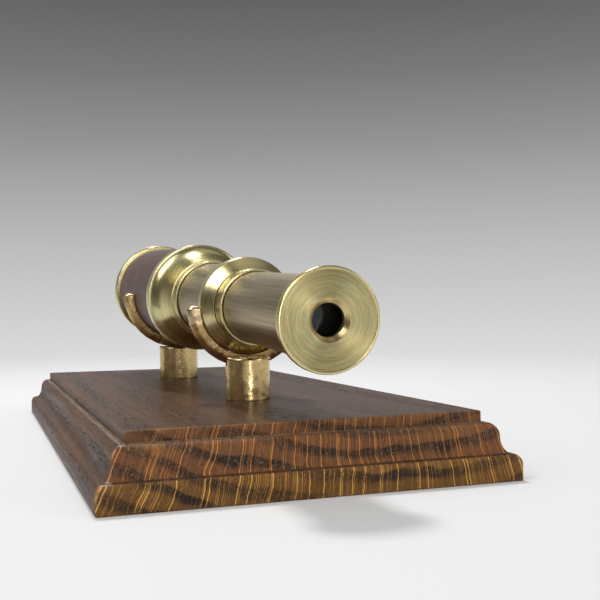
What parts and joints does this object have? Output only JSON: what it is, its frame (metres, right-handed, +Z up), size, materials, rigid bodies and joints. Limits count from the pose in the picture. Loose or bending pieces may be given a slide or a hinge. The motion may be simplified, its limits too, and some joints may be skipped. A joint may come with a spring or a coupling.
{
  "type": "direct-vision spectroscope on a stand",
  "caption": "Brass direct-vision spectroscope with two draws and a leather-covered barrel, lying in two half-ring cradles on a moulded oak plinth.",
  "frame": {"origin": "middle of the plinth's underside", "axes": "+Z up, +Y along the plinth from the eye end to the slit end, +X to the right of someone looking into the eyepiece"},
  "size_m": [0.086, 0.1876, 0.0586],
  "materials": {
    "oak": "dark stained oak, semi-gloss wax polish",
    "polished_brass": "turned and polished",
    "bronzed_brass": "bronzed, finely drawn lengthways",
    "cast_brass": "hand-finished, slightly hammered",
    "brazed_bar": "brazed half-round bar with a coppery heat tint",
    "leather": "dark red-brown, polished by handling",
    "steel": "bright turned",
    "blackened": "optical matt black",
    "crown_glass": "polished crown glass",
    "flint_glass": "polished flint glass",
    "cork": "cork"
  },
  "bodies": {
    "stand": {"plinth": "oak", "front_post": "cast_brass", "rear_post": "cast_brass", "front_cradle": "brazed_bar", "rear_cradle": "brazed_bar", "front_post_screw": "steel", "rear_post_screw": "steel", "front_post_washer": "steel", "rear_post_washer": "steel"},
    "middle_draw": {"middle_collar": "polished_brass", "middle_tube": "bronzed_brass", "middle_tube_stop_ring": "polished_brass", "middle_baffle": "blackened"},
    "eye_draw": {"eye_cap": "polished_brass", "eye_tube": "bronzed_brass", "eye_tube_stop_ring": "polished_brass", "eye_window": "crown_glass", "eye_window_retainer": "blackened", "prism_cell": "blackened", "prism_crown_1": "crown_glass", "prism_flint_1": "flint_glass", "prism_crown_2": "crown_glass", "prism_flint_2": "flint_glass", "prism_crown_3": "crown_glass", "prism_packing_lower": "cork", "prism_packing_upper": "cork", "collimator_cell": "blackened", "collimator_crown_lens": "crown_glass", "collimator_flint_lens": "flint_glass", "collimator_retainer": "blackened"},
    "barrel": {"barrel_collar": "polished_brass", "barrel_tube": "polished_brass", "barrel_cover": "leather", "end_ring": "polished_brass", "slit_plate": "polished_brass", "slit_fixed_jaw": "steel", "slit_bezel": "polished_brass", "slit_window": "crown_glass", "jaw_screw_lower": "steel", "jaw_screw_upper": "steel", "bezel_screw_lower": "steel", "bezel_screw_upper": "steel"},
    "slit_ring": {"slit_adjusting_ring": "polished_brass"},
    "slit_jaw": {"slit_moving_jaw": "steel"}
  },
  "joints": [
    {"name": "lift_off", "type": "slide", "parent": "stand", "child": "middle_draw", "axis": [0, 0, 1], "range_m": [0, 0.04]},
    {"name": "eye_draw_slide", "type": "slide", "parent": "middle_draw", "child": "eye_draw", "axis": [0, 0.9983, 0.058], "range_m": [0, 0.044]},
    {"name": "barrel_slide", "type": "slide", "parent": "middle_draw", "child": "barrel", "axis": [0, -0.9983, -0.058], "range_m": [0, 0.027]},
    {"name": "slit_ring_turn", "type": "hinge", "parent": "barrel", "child": "slit_ring", "pos_m": [0, 0.07611, 0.04332], "axis": [0, 0.9983, 0.058], "range_deg": [0, 90]},
    {"name": "slit_jaw_slide", "type": "slide", "parent": "barrel", "child": "slit_jaw", "axis": [1, 0, 0], "range_m": [0, 0.0008]}
  ],
  "couplings": [
    {"joint": "slit_jaw_slide", "follows": "slit_ring_turn", "m_per_rad": 0.0005093}
  ]
}
